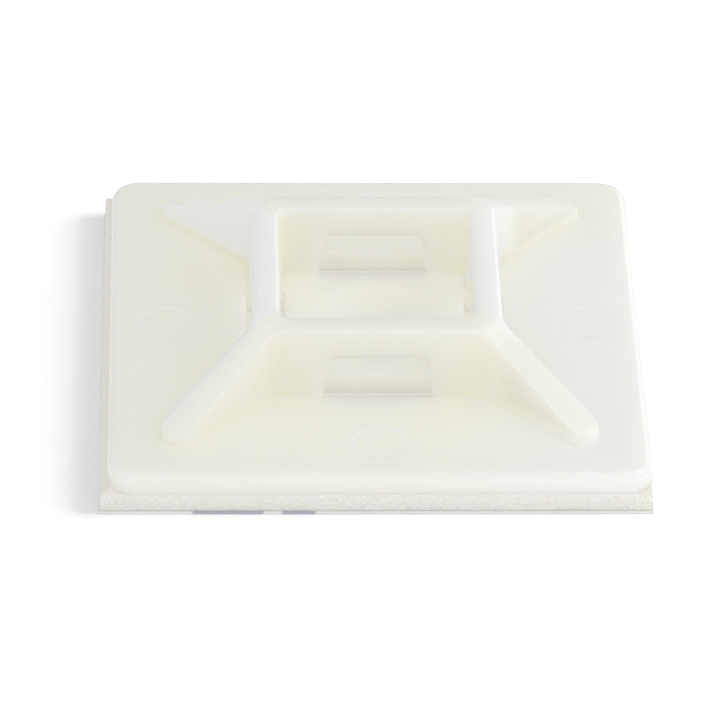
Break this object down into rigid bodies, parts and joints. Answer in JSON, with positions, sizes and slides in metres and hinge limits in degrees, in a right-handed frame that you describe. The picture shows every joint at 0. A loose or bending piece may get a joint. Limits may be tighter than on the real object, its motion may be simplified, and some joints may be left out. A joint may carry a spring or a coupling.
{
  "type": "cable tie mount",
  "caption": "Square moulded cable tie mount with tie slots on all sides, diagonal ribs, a countersunk screw hole and an adhesive foam pad under a paper liner.",
  "frame": {"origin": "on the screw hole's axis, on the release liner's underside", "axes": "+Z out of the screw hole, away from the surface that the mount is stuck to; X and Y along the plate's sides"},
  "size_m": [0.0286, 0.0282, 0.0062],
  "materials": {
    "nylon": "translucent natural nylon, satin",
    "foam": "white closed-cell foam tape, matt",
    "liner": null
  },
  "bodies": {
    "root": {"mount_body": "nylon", "foam_tape": "foam", "release_liner": "liner"}
  },
  "joints": []
}
